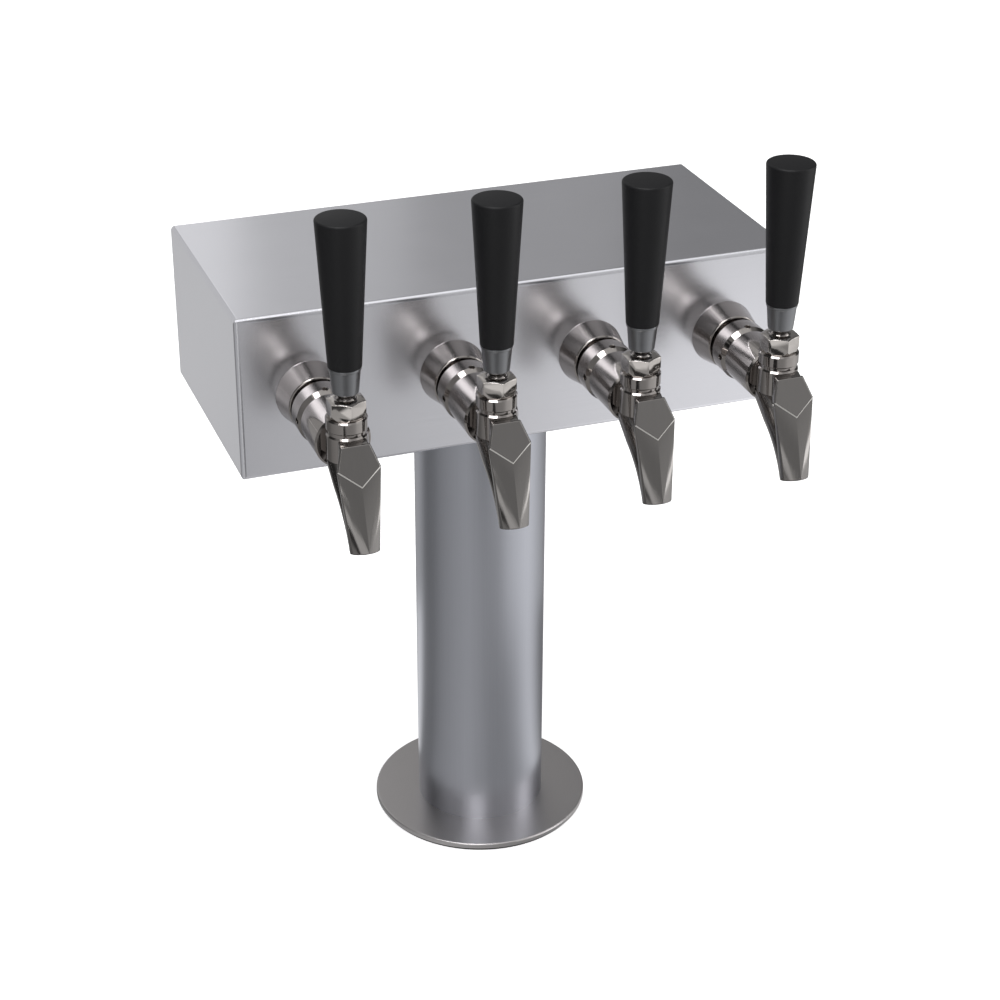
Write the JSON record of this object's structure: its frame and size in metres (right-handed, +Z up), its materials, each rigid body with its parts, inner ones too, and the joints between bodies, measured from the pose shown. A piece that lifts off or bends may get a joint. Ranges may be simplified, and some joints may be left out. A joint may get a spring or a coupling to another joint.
{
  "type": "beer tower",
  "caption": "Draught beer tower: a round column on a flanged foot carries a wide box head with taps in a row, each with a tipping lever, a black handle and a bent spout.",
  "frame": {"origin": "on the column's axis, at the underside of the gasket under the foot", "axes": "+Z up the column, the taps face -Y, +X to the right as seen from the taps' side"},
  "size_m": [0.3124, 0.2458, 0.4419],
  "materials": {
    "satin_steel": "satin, vertical brushing on the column, smooth on the head",
    "flange_steel": "polished, semi-gloss",
    "plain_steel": "mill finish, hidden",
    "screw_steel": "bright stainless",
    "tap_metal": "polished",
    "spout_metal": "polished",
    "shank_metal": "polished",
    "brass": "machined",
    "seal_rubber": "black, matt",
    "seat_plastic": "white",
    "connector_plastic": "pale grey",
    "line_plastic": "natural polyethylene",
    "foam": "closed-cell foam, cream",
    "lever_metal": "polished",
    "ferrule_metal": "satin",
    "handle_plastic": "black, matt"
  },
  "bodies": {
    "tower": {"gasket": "seal_rubber", "base_flange": "flange_steel", "foot_plate": "plain_steel", "column_tube": "satin_steel", "column_foam": "foam", "top_ring": "plain_steel", "top_ring_screws": "screw_steel", "head_shell": "satin_steel", "head_foam": "foam", "back_cover": "satin_steel", "back_cover_screws": "screw_steel", "shank_1": "shank_metal", "shank_2": "shank_metal", "shank_3": "shank_metal", "shank_4": "shank_metal", "shank_collars": "tap_metal", "shank_washers": "plain_steel", "shank_locknuts": "brass", "tail_nuts": "brass", "tail_pieces": "shank_metal", "tap_washers": "seal_rubber", "lever_seats": "seat_plastic", "line_connectors": "connector_plastic", "beer_line_1": "line_plastic", "beer_line_2": "line_plastic", "beer_line_3": "line_plastic", "beer_line_4": "line_plastic", "coupling_nut_1": "tap_metal", "coupling_nut_2": "tap_metal", "coupling_nut_3": "tap_metal", "coupling_nut_4": "tap_metal", "tap_body_1": "tap_metal", "tap_body_2": "tap_metal", "tap_body_3": "tap_metal", "tap_body_4": "tap_metal", "bonnet_1": "tap_metal", "bonnet_2": "tap_metal", "bonnet_3": "tap_metal", "bonnet_4": "tap_metal", "spout_1": "spout_metal", "spout_2": "spout_metal", "spout_3": "spout_metal", "spout_4": "spout_metal"},
    "lever_1_group": {"lever_1": "lever_metal", "ferrule_1": "ferrule_metal", "handle_1": "handle_plastic"},
    "shuttle_1_group": {"shuttle_1": "brass"},
    "lever_2_group": {"lever_2": "lever_metal", "ferrule_2": "ferrule_metal", "handle_2": "handle_plastic"},
    "shuttle_2_group": {"shuttle_2": "brass"},
    "lever_3_group": {"lever_3": "lever_metal", "ferrule_3": "ferrule_metal", "handle_3": "handle_plastic"},
    "shuttle_3_group": {"shuttle_3": "brass"},
    "lever_4_group": {"lever_4": "lever_metal", "ferrule_4": "ferrule_metal", "handle_4": "handle_plastic"},
    "shuttle_4_group": {"shuttle_4": "brass"}
  },
  "joints": [
    {"name": "lever_1_tilt", "type": "hinge", "parent": "tower", "child": "lever_1_group", "pos_m": [-0.1179, -0.1345, 0.3447], "axis": [1, 0, 0], "range_deg": [0, 24]},
    {"name": "shuttle_1_slide", "type": "slide", "parent": "tower", "child": "shuttle_1_group", "axis": [0, 1, 0], "range_m": [0, 0.0095]},
    {"name": "lever_2_tilt", "type": "hinge", "parent": "tower", "child": "lever_2_group", "pos_m": [-0.0393, -0.1345, 0.3447], "axis": [1, 0, 0], "range_deg": [0, 24]},
    {"name": "shuttle_2_slide", "type": "slide", "parent": "tower", "child": "shuttle_2_group", "axis": [0, 1, 0], "range_m": [0, 0.0095]},
    {"name": "lever_3_tilt", "type": "hinge", "parent": "tower", "child": "lever_3_group", "pos_m": [0.0393, -0.1345, 0.3447], "axis": [1, 0, 0], "range_deg": [0, 24]},
    {"name": "shuttle_3_slide", "type": "slide", "parent": "tower", "child": "shuttle_3_group", "axis": [0, 1, 0], "range_m": [0, 0.0095]},
    {"name": "lever_4_tilt", "type": "hinge", "parent": "tower", "child": "lever_4_group", "pos_m": [0.1179, -0.1345, 0.3447], "axis": [1, 0, 0], "range_deg": [0, 24]},
    {"name": "shuttle_4_slide", "type": "slide", "parent": "tower", "child": "shuttle_4_group", "axis": [0, 1, 0], "range_m": [0, 0.0095]}
  ],
  "couplings": [
    {"joint": "shuttle_1_slide", "follows": "lever_1_tilt", "m_per_rad": 0.02253},
    {"joint": "shuttle_2_slide", "follows": "lever_2_tilt", "m_per_rad": 0.02253},
    {"joint": "shuttle_3_slide", "follows": "lever_3_tilt", "m_per_rad": 0.02253},
    {"joint": "shuttle_4_slide", "follows": "lever_4_tilt", "m_per_rad": 0.02253}
  ]
}
